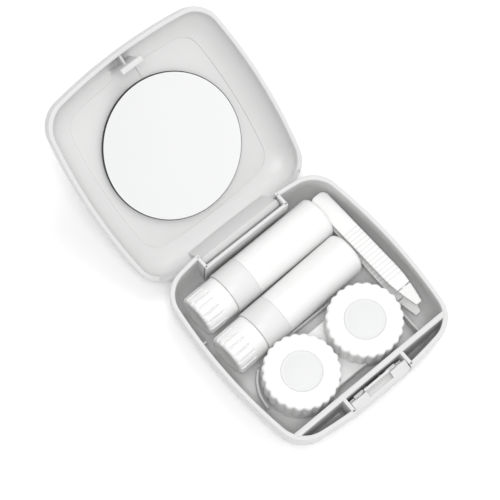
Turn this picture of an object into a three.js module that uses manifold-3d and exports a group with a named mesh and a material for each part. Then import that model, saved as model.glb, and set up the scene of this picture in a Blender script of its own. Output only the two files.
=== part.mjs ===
// Contact lens travel kit: a square hinged case with a mirror in its lid, holding a screw-cap
// lens case, two solution bottles and a pair of lens tweezers. Millimetres, +Z up. The origin is
// the centre of the flat base, +X runs along the hinge and +Y from the latch to the hinge.
import * as THREE from "three";
import { mergeVertices } from "three/addons/utils/BufferGeometryUtils.js";
import Module from "manifold-3d";

const wasm = await Module();
wasm.setup();

// ---------------------------------------------------------------- driving dimensions
// Lens case
const capRadius = 12.75; // to the crests of the cap's lobes
const capLobes = 24;
const lobeDepth = 0.4;
const capHeight = 8.2;
const capTop = 1.7;
const capSkirt = 1.1; // least thickness of the skirt
const capPitchGap = 1.3; // between the two caps
const discRadius = 6.6;
const discThickness = 0.6;
const cupRadius = 11.8;
const lensCaseHeight = 14.4;
const waistHalf = 9.9; // half the lens case's width between its cups
const caseShellWall = 1.1;
const neckWall = 1.1;
const wellRaise = 2.7; // the lens case's foot to the floor of its wells
const lensThreadPitch = 3;
const lensThreadDepth = 0.55;

// Bottles
const bottleRadius = 7.5;
const bandProud = 0.1; // the band stands proud of the body
const bottleLength = 53.6;
const bottleCapRadius = 7.2;
const bottleCapLength = 11.9;
const bandLength = 9;
const bottleWall = 0.9;
const bottleCapWall = 1.35;
const bottleCapSlots = 16;
const bottleThreadPitch = 1.6;
const bottleThreadDepth = 0.4;
const nozzleBore = 0.6;
const frontBottleYaw = 2.2; // degrees, how the bottles lie in their bay
const backBottleYaw = 1.0;
const bottleStagger = 1.1;
const bottleAboveRim = 0.8;

// Tweezers: two arms that spread from a common heel
const tweezersWidth = 6.3;
const tweezersReach = 50; // heel to the upper tip
const lowerTipExtra = 1.2;
const tweezersRaise = 7.5; // floor to the middle between the arms
const armThickness = 1.2;
const armSpread = 4.1; // the middle to each arm at its tip
const heelGap = 0.2;
const heelCorner = 2.4;
const heelSetback = 1.15; // behind it, to the back bottle's far side
const taperLength = 13;
const tipWidth = 2.1;
const softTipLength = 7.5;
const gripLines = 14;
const gripPitch = 1.5;
const gripStart = 17; // heel to the first line
const gripDepth = 0.2;

// Case
const wall = 1.5;
const floor = 1.5;
const sideBow = 175.5; // radius of the four gently bowed sides
const cornerRadius = 10.3;
const cornerKeep = 0.35; // how fast a corner tightens as the outline moves in
const trayLip = 4; // straight band under the rim
const trayRound = 8; // how far in the base's rounded edge reaches
const trayRoundInside = 5;
const lidLip = 3;
const lidRound = 9;
const lidRoundInside = 7;
const lidCrease = 70; // degrees of the inner round, which meets the ceiling in a crease
const lidTop = 1.6;
const rimGap = 0.3; // between the closed rims
const leftGap = 4.5; // left wall to the front bottle's cap
const heelRoom = 0.784; // tweezers' heel to the right wall
const tweezersGap = 0.45; // bottle to tweezers
const capSideGap = 5.55; // left wall to the left lens cap
const capToTweezers = 1.8;
const frontBay = 6; // outline to the partition
const partition = 1.9;
const capGap = 1;
const bottleGap = 0.85;
const betweenBottles = 0.45;
const backGap = 0.75;
const recessWall = 1.2;
const recessDepth = 5.45;
const seatGap = 0.15; // what stands on the floor keeps this off it
const rib = 0.8;
const lowRibTop = 5;
const cradleTop = 6;

// Mirror
const mirrorRadius = 24.3;
const mirrorOffset = 1.1; // towards the hinge
const mirrorThickness = 1.2;
const mirrorHeadroom = 5.95; // above the bottles with the lid closed
const padRadius = 21;
const padThickness = 0.5;
const glueGap = 0.1;

// Hinge
const openAngle = 144.8;
const hingeInset = 2.45; // behind it, to the case's back
const hingeDrop = 3.9; // below the rim
const pinRadius = 0.75;
const pinRunning = 0.1;
const tongueFace = 1.4; // hinge axis to the tongue's flat inner face
const tongueFoot = 2.1; // hinge axis to the tongue's foot
const recessHalf = 16.3;
const recessFloor = 5.4;
const tongueSide = 0.4;
const reliefRadius = 4.9;
const reliefReach = 14; // along the rim, past the tongue

// Latch
const bayHalf = 11.45;
const bayRib = 1.3;
const bayFloor = 7;
const buttonSide = 0.2;
const buttonRidge = 0.75; // the flat along the top of the button
const buttonInner = 3.6; // outline to the ridge's inner edge
const catchHeight = 1;
const catchTop = 2.8; // below the rim
const catchInner = 4.35; // outline to the bar's inner face
const catchDepth = 1.2;
const hookHalf = 4.1;
const hookThickness = 0.95;
const hookNose = 0.9;
const hookEnd = 5; // below the rim
const notchHalf = 4.95;
const notchInner = 3.75; // outline to the notch's inner side
const notchWidth = 2.1;
const notchDepth = 2.1;
const notchLipDrop = 0.85;
const springFloor = 9;
const springHeight = 1.6;
const postX = 9.8;
const latchGap = 0.15;

// ---------------------------------------------------------------- sizes that follow
const capPitch = 2 * capRadius + capPitchGap;
const bandRadius = bottleRadius + bandProud;
const bottleWidest = Math.max(bandRadius, bottleCapRadius);
const bottlesWide = leftGap + bottleLength + bottleStagger + tweezersGap;
const lensCaseWide = capSideGap + 2 * capRadius + capPitch + capToTweezers;
const depth =
  frontBay + partition + capGap + 2 * capRadius + bottleGap + 4 * bottleWidest +
  betweenBottles + backGap + recessWall + recessDepth;
const halfY = depth / 2;
const heelBack = halfY - recessDepth - recessWall - backGap - heelSetback;
// the bowed side comes in by this much at the tweezers' heel
const rightGap = heelRoom + heelBack ** 2 / (2 * sideBow);
const width = 2 * wall + Math.max(bottlesWide, lensCaseWide) + tweezersWidth + rightGap;
const halfX = width / 2;
const rim = floor + seatGap + Math.max(lensCaseHeight, 2 * bottleWidest - bottleAboveRim);
const tweezersX = halfX - wall - rightGap - tweezersWidth / 2;
const partitionFront = -halfY + frontBay;
const partitionBack = partitionFront + partition;
const capsY = partitionBack + capGap + capRadius;
const leftCapX = -halfX + wall + capSideGap + capRadius;
const rightCapX = leftCapX + capPitch;
const lensFloor = floor + seatGap;
const lensTop = lensFloor + lensCaseHeight;
const capFloor = lensTop - capHeight;
const frontBottleY = capsY + capRadius + bottleGap + bottleWidest;
const backBottleY = frontBottleY + 2 * bottleWidest + betweenBottles;
const bottleZ = floor + seatGap + bottleWidest;
const bottleTop = bottleZ + bottleWidest;
const frontBottleX = -halfX + wall + leftGap;
const backBottleX = frontBottleX + bottleStagger;
const recessInner = backBottleY + bottleWidest + backGap;
const recessOuter = recessInner + recessWall;
const hingeY = halfY - hingeInset;
const hingeZ = rim - hingeDrop;
const lidRim = rim + rimGap;
const mirrorFace = bottleTop + mirrorHeadroom;
const ceiling = mirrorFace + mirrorThickness + padThickness + 2 * glueGap;
const lidTopZ = ceiling + lidTop;
const catchBack = -halfY + catchInner;
const catchFront = catchBack - catchDepth;
const catchZ = rim - catchTop;

// ---------------------------------------------------------------- materials
const plastic = (color, roughness) =>
  new THREE.MeshStandardMaterial({ color, roughness, metalness: 0 });
const caseWhite = plastic(0xeeeeec, 0.38);
const capWhite = plastic(0xf8f8f6, 0.3);
const bottleWhite = plastic(0xf6f6f4, 0.28);
const bandGrey = plastic(0xececea, 0.42);
const discGrey = plastic(0xe9eaea, 0.5);
const softGrey = plastic(0xdcdcda, 0.7);
const foamWhite = plastic(0xe0e0dc, 0.9);
const steel = new THREE.MeshStandardMaterial({ color: 0xb8babd, roughness: 0.3, metalness: 1 });
const glass = new THREE.MeshStandardMaterial({ color: 0xf2f4f5, roughness: 0.04, metalness: 1 });

// ---------------------------------------------------------------- solids
const radians = THREE.MathUtils.degToRad;
const steps = (count) => Array.from({ length: count + 1 }, (_, i) => i / count);

// A closed manifold solid from any closed geometry, faces turned outwards.
function solid(geometry) {
  const bare = geometry.clone();
  bare.deleteAttribute("normal");
  bare.deleteAttribute("uv");
  const merged = mergeVertices(bare, 1e-4);
  const vertices = merged.attributes.position.array;
  const triangles = [];
  let volume = 0;
  const corner = (i) => new THREE.Vector3().fromArray(vertices, 3 * i);
  for (let i = 0; i < merged.index.count; i += 3) {
    const [a, b, c] = [0, 1, 2].map((k) => merged.index.getX(i + k));
    if (a === b || b === c || c === a) continue;
    triangles.push(a, b, c);
    volume += corner(a).dot(corner(b).cross(corner(c)));
  }
  if (volume < 0) triangles.reverse();
  return new wasm.Manifold(
    new wasm.Mesh({
      numProp: 3,
      vertProperties: new Float32Array(vertices),
      triVerts: new Uint32Array(triangles),
    }),
  );
}

const join = (...pieces) => pieces.reduce((all, next) => all.add(next));
const cut = (body, ...tools) => tools.reduce((rest, tool) => rest.subtract(tool), body);

function part(name, body, material) {
  const { vertProperties, triVerts } = body.getMesh();
  const geometry = new THREE.BufferGeometry();
  geometry.setAttribute("position", new THREE.BufferAttribute(vertProperties, 3));
  geometry.setIndex(new THREE.BufferAttribute(triVerts, 1));
  geometry.computeVertexNormals();
  const mesh = new THREE.Mesh(geometry, material);
  mesh.name = name;
  return mesh;
}

function box([x0, x1], [y0, y1], [z0, z1]) {
  const geometry = new THREE.BoxGeometry(x1 - x0, y1 - y0, z1 - z0);
  return solid(geometry.translate((x0 + x1) / 2, (y0 + y1) / 2, (z0 + z1) / 2));
}

// A solid turned about Z from [radius, z] points that start and end on the axis or close.
function turned(profile, segments, x = 0, y = 0) {
  const points = profile.map(([r, z]) => new THREE.Vector2(r, z));
  const geometry = new THREE.LatheGeometry(points, segments);
  return solid(geometry.rotateX(Math.PI / 2).translate(x, y, 0));
}

function extruded(points, z0, z1) {
  const shape = new THREE.Shape(points.map(([x, y]) => new THREE.Vector2(x, y)));
  const geometry = new THREE.ExtrudeGeometry(shape, { depth: z1 - z0, bevelEnabled: false });
  return solid(geometry.translate(0, 0, z0));
}

// A section of [y, z] points carried along X.
function alongX(points, x0, x1) {
  const shape = new THREE.Shape(points.map(([y, z]) => new THREE.Vector2(y, z)));
  const geometry = new THREE.ExtrudeGeometry(shape, { depth: x1 - x0, bevelEnabled: false });
  const turn = new THREE.Matrix4().makeBasis(
    new THREE.Vector3(0, 1, 0),
    new THREE.Vector3(0, 0, 1),
    new THREE.Vector3(1, 0, 0),
  );
  return solid(geometry.applyMatrix4(turn).translate(x0, 0, 0));
}

function rodAlongX(radius, x0, x1, y, z, segments = 24) {
  const geometry = new THREE.CylinderGeometry(radius, radius, x1 - x0, segments);
  return solid(geometry.rotateZ(Math.PI / 2).translate((x0 + x1) / 2, y, z));
}

// Closed solid through stacked rings that hold equally many [x, y, z] points.
function loft(rings) {
  const count = rings[0].length;
  const indices = [];
  for (let level = 0; level + 1 < rings.length; level++) {
    for (let i = 0; i < count; i++) {
      const a = level * count + i;
      const b = level * count + ((i + 1) % count);
      indices.push(a, b, b + count, a, b + count, a + count);
    }
  }
  const top = (rings.length - 1) * count;
  for (let i = 1; i + 1 < count; i++) {
    indices.push(0, i + 1, i, top, top + i, top + i + 1);
  }
  const geometry = new THREE.BufferGeometry();
  const flat = new Float32Array(rings.flat(2));
  geometry.setAttribute("position", new THREE.BufferAttribute(flat, 3));
  geometry.setIndex(indices);
  return solid(geometry);
}

// The case's outline moved in by inset: four bowed sides joined by round corners.
function outline(inset, z) {
  const [hx, hy, bow] = [halfX - inset, halfY - inset, sideBow - inset];
  const corner = cornerRadius - cornerKeep * inset;
  let [cx, cy] = [hx - corner, hy - corner];
  for (let i = 0; i < 40; i++) {
    cy = Math.sqrt((bow - corner) ** 2 - cx ** 2) - (bow - hy);
    cx = Math.sqrt((bow - corner) ** 2 - cy ** 2) - (bow - hx);
  }
  const sideEnd = Math.atan2(cy, cx - (hx - bow));
  const backEnd = Math.atan2(cy - (hy - bow), cx);
  const quarter = [];
  const arc = (x, y, radius, from, to, count) => {
    for (const t of steps(count).slice(0, -1)) {
      const angle = from + (to - from) * t;
      quarter.push([x + radius * Math.cos(angle), y + radius * Math.sin(angle)]);
    }
  };
  arc(hx - bow, 0, bow, 0, sideEnd, 3);
  arc(cx, cy, corner, sideEnd, backEnd, 6);
  arc(0, hy - bow, bow, backEnd, Math.PI / 2, 3);
  const half = [...quarter, [0, hy], ...quarter.slice(1).reverse().map(([x, y]) => [-x, y])];
  const whole = [...half, [-hx, 0], ...half.slice(1).reverse().map(([x, y]) => [x, -y])];
  return whole.map(([x, y]) => [x, y, z]);
}

// Rings of a shell whose straight lip runs from z0 to z1 and then rounds in to z2, through
// sweep degrees of an ellipse.
function pillow(inset, round, z0, z1, z2, sweep = 90) {
  const last = radians(sweep);
  const rounded = steps(5).slice(1).map((t) => {
    const inward = (1 - Math.cos(t * last)) / (1 - Math.cos(last));
    return outline(inset + round * inward, z1 + ((z2 - z1) * Math.sin(t * last)) / Math.sin(last));
  });
  return loft([outline(inset, z0), outline(inset, z1), ...rounded]);
}

// A helical ridge of trapezoid section about Z, rising with a right-hand thread.
function threadRidge(root, crest, rootHeight, crestHeight, pitch, turns, z0, start = 0) {
  const perTurn = 14;
  const count = Math.round(perTurn * turns);
  const rings = steps(count).map((t) => {
    const angle = start + 2 * Math.PI * turns * t;
    const z = z0 + pitch * turns * t;
    const at = (radius, height) => [
      radius * Math.cos(angle), radius * Math.sin(angle), z + height,
    ];
    return [
      at(root, -rootHeight / 2), at(crest, -crestHeight / 2),
      at(crest, crestHeight / 2), at(root, rootHeight / 2),
    ];
  });
  return loft(rings);
}

// ---------------------------------------------------------------- base
function baseTray() {
  const outer = pillow(0, trayRound, rim, rim - trayLip, 0);
  const inner = pillow(wall, trayRoundInside, rim + 1, rim - trayLip, floor);
  const roundMiddle = (trayRound + trayRoundInside) / 2;
  const middle = pillow(wall / 2, roundMiddle, rim, rim - trayLip, floor / 2);
  const [left, right] = [-halfX, halfX];
  const inside = join(
    box([left, right], [partitionFront, partitionBack], [floor / 2, rim]),
    ...[-1, 1].map((side) => {
      const ends = [side * bayHalf, side * (bayHalf + bayRib)].sort((a, b) => a - b);
      return box(ends, [-halfY, partitionFront + 0.5], [floor / 2, rim]);
    }),
    // the recess that takes the lid's tongue
    box(
      [-recessHalf - recessWall, recessHalf + recessWall],
      [recessInner, halfY],
      [recessFloor - recessWall, rim],
    ),
    lowRibs(),
  );
  const catchBar = join(
    box([-bayHalf - 0.5, bayHalf + 0.5], [catchFront, catchBack], [catchZ - catchHeight, catchZ]),
    // wider beside the hook
    ...[-1, 1].map((side) => {
      const ends = [side * (hookHalf + 0.6), side * (postX - 1.2)].sort((a, b) => a - b);
      return box(ends, [catchFront, partitionFront - 0.6], [catchZ - catchHeight, catchZ]);
    }),
  );
  const rails = [-1, 1].map((side) => {
    const ends = [side * (bayHalf - 1.2), side * (bayHalf + 0.5)].sort((a, b) => a - b);
    return box(ends, [-halfY + 2.2, partitionFront + 0.5], [bayFloor - 1.2, bayFloor]);
  });
  return cut(
    join(cut(outer, inner), inside.intersect(middle), ...rails),
    // window for the latch button
    box([-bayHalf, bayHalf], [-halfY - 1, partitionFront - 0.5], [bayFloor, rim + 1]),
    // recess, open at the back
    box([-recessHalf, recessHalf], [recessOuter, halfY + 1], [recessFloor, rim + 1]),
    rodAlongX(pinRadius + 0.08, -halfX, halfX, hingeY, hingeZ),
  ).add(catchBar);
}

// Low ribs on the floor that keep the contents in their places.
function lowRibs() {
  const low = floor / 2;
  const bottleDivider = (frontBottleY + backBottleY) / 2;
  const innerLeft = -halfX + wall;
  const lensRibY = frontBottleY - bottleRadius + 0.35;
  const tipRibX = rightCapX + capRadius + capToTweezers / 2;
  const cradle = (radius) => steps(10).map((t) => {
    const angle = radians(125 + 57 * t);
    return [leftCapX + radius * Math.cos(angle), capsY + radius * Math.sin(angle)];
  });
  return join(
    box([innerLeft - 0.5, innerLeft + leftGap - 0.7],
      [bottleDivider - rib / 2, bottleDivider + rib / 2], [low, cradleTop]),
    box([leftCapX + 6, rightCapX - 2], [lensRibY - rib, lensRibY], [low, lowRibTop]),
    box([tipRibX - rib / 2, tipRibX + rib / 2], [partitionFront, capsY - 2], [low, cradleTop]),
    // two rests under the tweezers
    ...[0.12, 0.7].map((t) => {
      const y = heelBack - tweezersReach * t;
      const top = tweezersZ - armHeight(t - 0.02) - armThickness / 2 - 0.3;
      return box([tweezersX - 1.5, halfX], [y - rib / 2, y + rib / 2], [low, top]);
    }),
    extruded(
      [...cradle(capRadius + 0.45), ...cradle(capRadius + 0.45 + rib).reverse()], low, cradleTop,
    ),
  );
}

// ---------------------------------------------------------------- latch button
function latchButton() {
  const side = bayHalf - buttonSide;
  const front = -halfY;
  const face = pillow(0.1, trayRound, rim, rim - trayLip, 0);
  const bottom = bayFloor + 0.2;
  const under = catchZ + 0.3;
  const shoulder = front + buttonInner;
  const ridge = shoulder - buttonRidge;
  const ledge = catchBack + 0.3;
  const notchBack = front + notchInner;
  const plate = box([-side, side], [front, front + 1.4], [bottom, rim]);
  const head = alongX(
    [[shoulder, under], [shoulder, rim], [ridge, rim],
      [front - 0.2, rim - 1.45], [front - 0.2, under]],
    -side, side,
  );
  const slope = alongX(
    [[front - 1, rim - 1.86], [front - 1, rim + 1], [ridge, rim + 1], [ridge, rim]],
    -side - 1, side + 1,
  );
  const foot = box([-side, side], [front, ledge + 0.1], [bottom, bottom + 1.2]);
  const posts = [-postX, postX].map((x) =>
    box([x - 1, x + 1], [catchBack + 0.1, catchBack + 0.6], [bottom + 0.5, catchZ - 0.2]));
  const centre = box([-notchHalf - 0.3, notchHalf + 0.3], [front + 3, ledge], [under, rim]);
  const body = cut(
    join(plate, head, foot, centre).intersect(face).subtract(slope),
    box([-notchHalf, notchHalf], [notchBack - notchWidth, notchBack], [rim - notchDepth, rim + 1]),
    box([-notchHalf, notchHalf], [front - 1, notchBack], [rim - notchLipDrop, rim + 1]),
  );
  return join(body, ...posts);
}

// A thin bowed arm under the catch bar that pushes the button out against the partition.
function buttonSpringArm(side) {
  const start = -halfY + 1.5;
  const end = partitionFront - 0.1;
  const thickness = 0.5;
  const line = (offset) => steps(8).map((t) => {
    const rise = (1 - Math.cos(t * Math.PI)) / 2;
    return [side * (8.2 - 5.6 * t), start + offset + (end - thickness - start) * rise];
  });
  return extruded(
    [...line(0), ...line(thickness).reverse()], springFloor, springFloor + springHeight,
  );
}

// ---------------------------------------------------------------- lid, drawn closed
function lidShell() {
  const outer = pillow(0, lidRound, lidRim, lidRim + lidLip, lidTopZ);
  const inner = pillow(wall, lidRoundInside, lidRim - 1, lidRim + lidLip - 1, ceiling, lidCrease);
  const tongueHalf = recessHalf - tongueSide;
  const back = halfY - 0.25;
  const face = hingeY - tongueFace;
  const foot = hingeZ - tongueFoot;
  const tongue = alongX(
    [[face, foot], [face, ceiling], [hingeY, ceiling], [back, lidRim + 2], [back, hingeZ - 0.4],
      [hingeY + 1.5, foot + 0.7], [hingeY + 0.5, foot]],
    -tongueHalf, tongueHalf,
  );
  const outerReach = pillow(0.2, lidRound, hingeZ - 5, lidRim + lidLip, lidTopZ);
  const hookBack = partitionFront - latchGap;
  const hookFront = hookBack - hookThickness;
  const hook = join(
    box([-hookHalf, hookHalf], [hookFront, hookBack], [rim - hookEnd, ceiling + 0.5]),
    alongX(
      [[hookFront + 0.3, rim - hookEnd], [hookFront + 0.3, rim - hookEnd + hookNose],
        [hookFront - hookNose, rim - hookEnd + hookNose], [hookFront - hookNose, rim - hookEnd + 0.5],
        [hookFront - 0.3, rim - hookEnd]],
      -hookHalf, hookHalf,
    ),
  );
  const hookRib = box([-0.4, 0.4], [-halfY + 1, hookFront + 0.3], [rim + 1.2, ceiling + 0.5]);
  const relief = [-1, 1].map((side) => {
    const ends = [side * tongueHalf, side * (tongueHalf + reliefReach)].sort((a, b) => a - b);
    return rodAlongX(reliefRadius, ...ends, hingeY, hingeZ, 32);
  });
  const body = cut(
    outer,
    cut(inner, tongue),
    // shallow panel under the hook
    box([-hookHalf - 0.2, hookHalf + 0.2], [hookFront - 0.5, -mirrorRadius + mirrorOffset],
      [ceiling - 1, ceiling + 0.4]),
    ...relief,
  );
  return cut(
    join(body, tongue.intersect(outerReach), hook, hookRib.intersect(outer)),
    rodAlongX(pinRadius + pinRunning, -halfX, halfX, hingeY, hingeZ),
  );
}

function disc(radius, z0, z1, x, y, segments) {
  return turned([[0, z0], [radius, z0], [radius, z1], [0, z1]], segments, x, y);
}

// ---------------------------------------------------------------- lens case
const lensThreadRoot = cupRadius - 1.4;
const capBore = capRadius - lobeDepth - capSkirt;
const neckTop = lensTop - capTop - 0.2;
const deckTop = capFloor - 0.9;

// The lens case's plan: two round cups and a waist, moved in by inset.
function dogBone(inset) {
  const radius = cupRadius - inset;
  const waist = waistHalf - inset;
  const meet = Math.asin(waist / radius);
  const round = (centre, from, to) => steps(14).map((t) => {
    const angle = from + (to - from) * t;
    return [centre + radius * Math.cos(angle), capsY + radius * Math.sin(angle)];
  });
  return [
    ...round(rightCapX, -Math.PI + meet, Math.PI - meet),
    ...round(leftCapX, meet, 2 * Math.PI - meet),
  ];
}

function lensCaseBody() {
  const shell = extruded(dogBone(0), lensFloor, deckTop);
  const under = extruded(dogBone(caseShellWall), lensFloor - 1, deckTop - caseShellWall);
  const bowlInner = lensThreadRoot - neckWall;
  const bowlFloor = lensFloor + wellRaise;
  const bowl = (radius, bottom, top) => [
    [0, bottom],
    ...steps(4).slice(1).map((t) => {
      const angle = (t * Math.PI) / 2;
      const rise = Math.min(radius * 0.7, top - bottom);
      return [radius * Math.sin(angle), bottom + rise * (1 - Math.cos(angle))];
    }),
    [radius, top],
    [0, top],
  ];
  const cups = [leftCapX, rightCapX].map((x) =>
    turned(bowl(lensThreadRoot, bowlFloor - neckWall, neckTop), 28, x, capsY));
  const wells = [leftCapX, rightCapX].map((x) =>
    turned(bowl(bowlInner, bowlFloor, neckTop + 1), 28, x, capsY));
  const threads = [leftCapX, rightCapX].map((x) =>
    threadRidge(lensThreadRoot - 0.3, lensThreadRoot + lensThreadDepth, 1.3, 0.7,
      lensThreadPitch, 1, capFloor + 1.6).translate([x, capsY, 0]));
  return cut(join(cut(shell, under), ...cups, ...threads), ...wells);
}

function lobedOutline(x, y) {
  const perLobe = 3;
  return steps(capLobes * perLobe).slice(0, -1).map((t) => {
    const angle = 2 * Math.PI * t;
    const lobe = Math.abs(Math.cos((capLobes * angle) / 2));
    const radius = capRadius - lobeDepth * (1 - lobe);
    return [x + radius * Math.cos(angle), y + radius * Math.sin(angle)];
  });
}

function lensCap(x) {
  const seatDepth = discThickness + 0.1;
  const ridge = threadRidge(capBore + 0.3, capBore - lensThreadDepth, 1.3, 0.7,
    lensThreadPitch, 1, capFloor + 1, Math.PI);
  const body = cut(
    extruded(lobedOutline(0, 0), capFloor, lensTop),
    turned([[0, capFloor - 1], [capBore, capFloor - 1], [capBore, lensTop - capTop],
      [0, lensTop - capTop]], 28),
    disc(discRadius + 0.15, lensTop - seatDepth, lensTop + 1, 0, 0, 28),
  );
  return join(body, ridge).translate([x, capsY, 0]);
}

// ---------------------------------------------------------------- bottles
// Drawn upright about Z with the cap's end at the origin and the body below it.
const neckRadius = bottleCapRadius - bottleCapWall - 0.65;
const bandStart = bottleCapLength + 0.2;
const bodyStart = bandStart + bandLength + 0.1;
const neckEnd = 5.5;
const neckBore = neckRadius - 1.3;

function bottleBody() {
  const soft = 1.8;
  const rounding = (radius, end, turn) => steps(2).map((t) => {
    const angle = (t * Math.PI) / 2;
    return [radius - turn * (1 - Math.cos(angle)), end + turn * (1 - Math.sin(angle))];
  });
  const end = -bottleLength;
  const inner = bottleRadius - bottleWall;
  const profile = [
    [0, end],
    ...rounding(bottleRadius, end, soft).reverse(),
    [bottleRadius, -bodyStart],
    [neckRadius + 0.5, -bodyStart + 0.4],
    [neckRadius + 0.5, -bandStart - 0.4],
    [neckRadius, -bandStart - 0.4],
    [neckRadius, -neckEnd],
    [neckBore, -neckEnd],
    [neckBore, -bodyStart],
    [inner, -bodyStart - 2.4],
    ...rounding(inner, end + bottleWall, soft - bottleWall / 2),
    [0, end + bottleWall],
  ];
  const ridge = threadRidge(neckRadius - 0.3, neckRadius + bottleThreadDepth, 0.8, 0.35,
    bottleThreadPitch, 1.5, -bottleCapLength + 1.4);
  return join(turned(profile, 24), ridge);
}

function bottleBand() {
  const bore = neckRadius + 0.6;
  return turned([
    [bore, -bodyStart + 0.5], [bandRadius - 0.3, -bodyStart + 0.1], [bandRadius, -bodyStart + 0.4],
    [bandRadius, -bandStart - 0.3], [bandRadius - 0.3, -bandStart], [bore, -bandStart],
    [bore, -bodyStart + 0.5],
  ], 28);
}

function bottleNozzle() {
  const plug = neckBore - 0.05;
  return turned([
    [nozzleBore, -neckEnd - 6], [plug, -neckEnd - 6], [plug, -neckEnd + 0.05],
    [neckRadius - 0.2, -neckEnd + 0.05], [neckRadius - 0.2, -neckEnd + 0.8],
    [1.9, -neckEnd + 0.9], [1.2, -2.1], [nozzleBore, -2.1], [nozzleBore, -neckEnd - 6],
  ], 16);
}

function bottleCap() {
  const bore = bottleCapRadius - bottleCapWall;
  const bevel = 1;
  const shell = turned([
    [0, 0], [bottleCapRadius - bevel, 0], [bottleCapRadius, -bevel],
    [bottleCapRadius, -bottleCapLength], [bore, -bottleCapLength], [bore, -1.2], [0, -1.2],
  ], 36);
  const slots = steps(bottleCapSlots).slice(0, -1).map((t) => {
    const slot = new THREE.BoxGeometry(1, 0.8, 2 * 0.6 * bottleCapLength);
    slot.translate(bottleCapRadius + 0.05, 0, 0).rotateZ(2 * Math.PI * t);
    return solid(slot);
  });
  const ridge = threadRidge(bore + 0.3, bore - bottleThreadDepth, 0.8, 0.35,
    bottleThreadPitch, 1.5, -bottleCapLength + 1.2, Math.PI);
  return join(cut(shell, ...slots), ridge);
}

function bottleCapSeal() {
  const seat = bottleCapRadius - bottleCapWall - 0.25;
  return turned([
    [0, -3.2], [nozzleBore - 0.2, -3.2], [nozzleBore - 0.1, -1.75], [seat, -1.75], [seat, -1.3],
    [0, -1.3],
  ], 16);
}

function bottle(label, x, y, yaw) {
  const group = new THREE.Group();
  group.add(
    part(`${label}_bottle_body`, bottleBody(), bottleWhite),
    part(`${label}_bottle_band`, bottleBand(), bandGrey),
    part(`${label}_bottle_nozzle`, bottleNozzle(), capWhite),
    part(`${label}_bottle_cap`, bottleCap(), bottleWhite),
    part(`${label}_bottle_cap_seal`, bottleCapSeal(), softGrey),
  );
  group.rotation.set(0, -Math.PI / 2, radians(yaw), "ZYX");
  group.position.set(x, y + (x * Math.sin(radians(yaw))), bottleZ);
  return group;
}

// ---------------------------------------------------------------- tweezers
const tweezersZ = floor + tweezersRaise;

// An arm's height off the middle, from its heel (0) to its tip (1).
function armHeight(t) {
  const root = (armThickness + heelGap) / 2;
  return root + (armSpread - root) * (1 - Math.max(1 - t, 0) ** 1.3);
}

// Side view of the stretch of arm between two distances from the heel, as [y, z] points.
function armSide(sign, from, to, thickness) {
  const edge = (offset) => steps(6).map((t) => {
    const along = from + (to - from) * t;
    const height = armHeight(along / tweezersReach) + offset;
    return [heelBack - along, tweezersZ + sign * height];
  });
  return [...edge(-thickness / 2), ...edge(thickness / 2).reverse()];
}

// Plan of a whole tweezer: round corners at the heel, tapered to the tip.
function tweezersPlan(reach, inset) {
  const half = tweezersWidth / 2 - inset;
  const corner = heelCorner - inset;
  const heel = steps(4).map((t) => [
    half - corner * (1 - Math.sin((t * Math.PI) / 2)),
    heelBack - inset - corner * (1 - Math.cos((t * Math.PI) / 2)),
  ]);
  const tip = steps(5).map((t) => [
    half - (half + inset - tipWidth / 2) * t ** 1.5,
    heelBack - reach + taperLength * (1 - t),
  ]);
  const side = [...heel, ...tip];
  return [
    ...side.map(([x, y]) => [tweezersX + x, y]),
    ...side.reverse().map(([x, y]) => [tweezersX - x, y]),
  ];
}

function tweezerArm(sign, reach) {
  const across = [tweezersX - tweezersWidth, tweezersX + tweezersWidth];
  const tang = [tweezersX - 0.7, tweezersX + 0.7];
  const plan = extruded(tweezersPlan(reach, 0), floor, rim);
  const joint = reach - softTipLength;
  const blade = alongX(armSide(sign, 0, joint, armThickness), ...across);
  const insert = alongX(armSide(sign, joint - 1, joint + 3, 0.5), ...tang);
  const slot = alongX(armSide(sign, joint - 1, joint + 3.2, 0.7), tang[0] - 0.1, tang[1] + 0.1);
  const soft = alongX(armSide(sign, joint + 0.15, reach, armThickness), ...across);
  const lines = steps(gripLines).map((t) => {
    const along = gripStart + t * gripLines * gripPitch;
    const z = tweezersZ + sign * (armHeight(along / tweezersReach) + armThickness / 2);
    const y = heelBack - along;
    return box([across[0], across[1]], [y - 0.25, y + 0.25], [z - gripDepth, z + gripDepth]);
  });
  return {
    arm: join(cut(blade.intersect(plan), ...lines), insert),
    tip: cut(soft.intersect(plan), slot),
  };
}

// ---------------------------------------------------------------- assembly
const kit = new THREE.Group();
kit.name = "contact_lens_kit";
kit.add(
  part("base_tray", baseTray(), caseWhite),
  part("hinge_pin", rodAlongX(pinRadius, -recessHalf - recessWall + 0.1,
    recessHalf + recessWall - 0.1, hingeY, hingeZ), steel),
  part("latch_button", latchButton(), caseWhite),
  part("left_button_spring", buttonSpringArm(-1), caseWhite),
  part("right_button_spring", buttonSpringArm(1), caseWhite),
);

const lid = new THREE.Group();
const drawnClosed = new THREE.Group();
drawnClosed.position.set(0, -hingeY, -hingeZ);
drawnClosed.add(
  part("lid_shell", lidShell(), caseWhite),
  part("mirror", disc(mirrorRadius, mirrorFace, mirrorFace + mirrorThickness, 0, mirrorOffset, 64),
    glass),
  part("mirror_pad", disc(padRadius, ceiling - glueGap - padThickness, ceiling - glueGap, 0,
    mirrorOffset, 40), foamWhite),
);
lid.add(drawnClosed);
lid.position.set(0, hingeY, hingeZ);
lid.rotation.x = -radians(openAngle);
kit.add(lid);

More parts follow.
